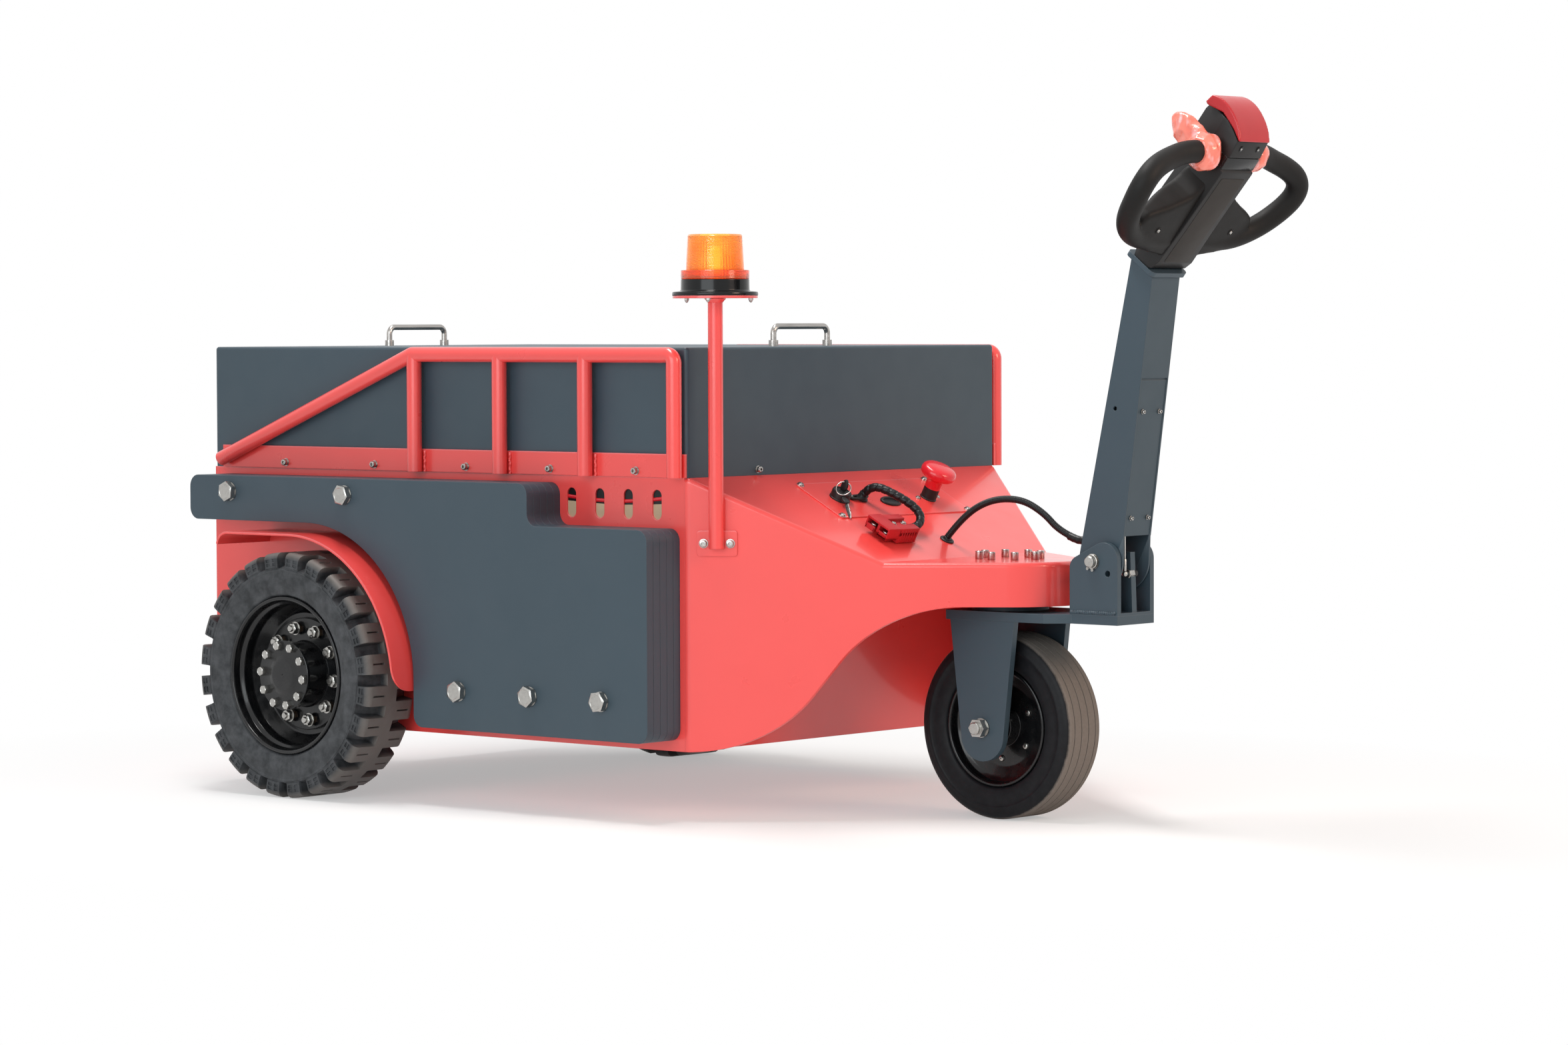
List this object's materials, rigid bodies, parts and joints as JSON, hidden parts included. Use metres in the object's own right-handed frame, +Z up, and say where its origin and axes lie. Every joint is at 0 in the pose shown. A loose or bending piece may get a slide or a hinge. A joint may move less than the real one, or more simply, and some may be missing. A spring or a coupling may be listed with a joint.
{
  "type": "walk-behind airport baggage tug",
  "caption": "Walk-behind electric baggage tug: red steel body with slate battery cover and ballast, lugged rear tyres, a steered front wheel, tiller and amber beacon.",
  "frame": {"origin": "on the floor under the centre of the bounding box", "axes": "+X forward towards the tiller, +Y to the vehicle's left, +Z up"},
  "size_m": [2.0194, 1.064, 1.1467],
  "materials": {
    "coral_paint": "gloss coral red enamel",
    "slate_paint": "satin slate grey paint",
    "stainless": "polished stainless steel",
    "zinc_steel": "bright zinc plated",
    "cast_iron_black": "black painted casting",
    "tyre_rubber": "matt black rubber",
    "black_gloss_paint": "gloss black enamel",
    "black_plastic": "fine textured black",
    "amber_lens": "clear amber, ribbed",
    "red_plastic": "gloss red"
  },
  "bodies": {
    "chassis": {"body_shell": "coral_paint", "nose_hood": "coral_paint", "control_panel": "coral_paint", "battery_cover": "slate_paint", "cover_handle_rear": "stainless", "cover_handle_front": "stainless", "guard_right": "coral_paint", "guard_left": "coral_paint", "ballast_right": "slate_paint", "ballast_left": "slate_paint", "fender_right": "coral_paint", "fender_left": "coral_paint", "battery_pack": "black_plastic", "drive_axle": "cast_iron_black", "tow_jaw": "cast_iron_black", "beacon_post": "coral_paint", "beacon_base": "black_plastic", "beacon_lens": "amber_lens", "stop_button": "red_plastic", "key_switch": "black_plastic", "charge_connector": "red_plastic", "charge_lead": "black_plastic", "control_conduit": "black_plastic", "bearing_ring": "cast_iron_black"},
    "rear_wheel_right": {"rear_tyre_right": "tyre_rubber", "rear_rim_right": "black_gloss_paint", "rear_hub_right": "black_gloss_paint"},
    "rear_wheel_left": {"rear_tyre_left": "tyre_rubber", "rear_rim_left": "black_gloss_paint", "rear_hub_left": "black_gloss_paint"},
    "steering": {"fork": "slate_paint", "front_axle": "zinc_steel", "tiller_bracket": "slate_paint", "tiller_pin": "zinc_steel"},
    "front_wheel": {"front_tyre": "tyre_rubber", "front_rim": "black_gloss_paint"},
    "tiller": {"tiller_arm": "slate_paint", "head_housing": "black_plastic", "belly_button": "red_plastic", "grip_right": "black_plastic", "grip_left": "black_plastic", "speed_knob_right": "red_plastic", "speed_knob_left": "red_plastic", "spring_barrel": "black_plastic"},
    "spring_rod": {"spring_rod": "zinc_steel"}
  },
  "joints": [
    {"name": "rear_wheel_right_spin", "type": "hinge", "parent": "chassis", "child": "rear_wheel_right", "pos_m": [-0.60668, -0.4755, 0.2075], "axis": [0, 1, 0], "continuous": true},
    {"name": "rear_wheel_left_spin", "type": "hinge", "parent": "chassis", "child": "rear_wheel_left", "pos_m": [-0.60668, 0.4755, 0.2075], "axis": [0, 1, 0], "continuous": true},
    {"name": "steering_turn", "type": "hinge", "parent": "chassis", "child": "steering", "pos_m": [0.53332, 0, 0.35], "axis": [0, 0, 1], "range_deg": [-72, 72]},
    {"name": "front_wheel_spin", "type": "hinge", "parent": "steering", "child": "front_wheel", "pos_m": [0.53332, 0, 0.15], "axis": [0, 1, 0], "continuous": true},
    {"name": "tiller_tilt", "type": "hinge", "parent": "steering", "child": "tiller", "pos_m": [0.73482, 0, 0.4215], "axis": [0, 1, 0], "range_deg": [0, 70]},
    {"name": "spring_slide", "type": "slide", "parent": "tiller", "child": "spring_rod", "axis": [0, 0, 1], "range_m": [0, 0.049]}
  ],
  "couplings": [
    {"joint": "spring_slide", "follows": "tiller_tilt", "m_per_rad": 0.0401}
  ]
}
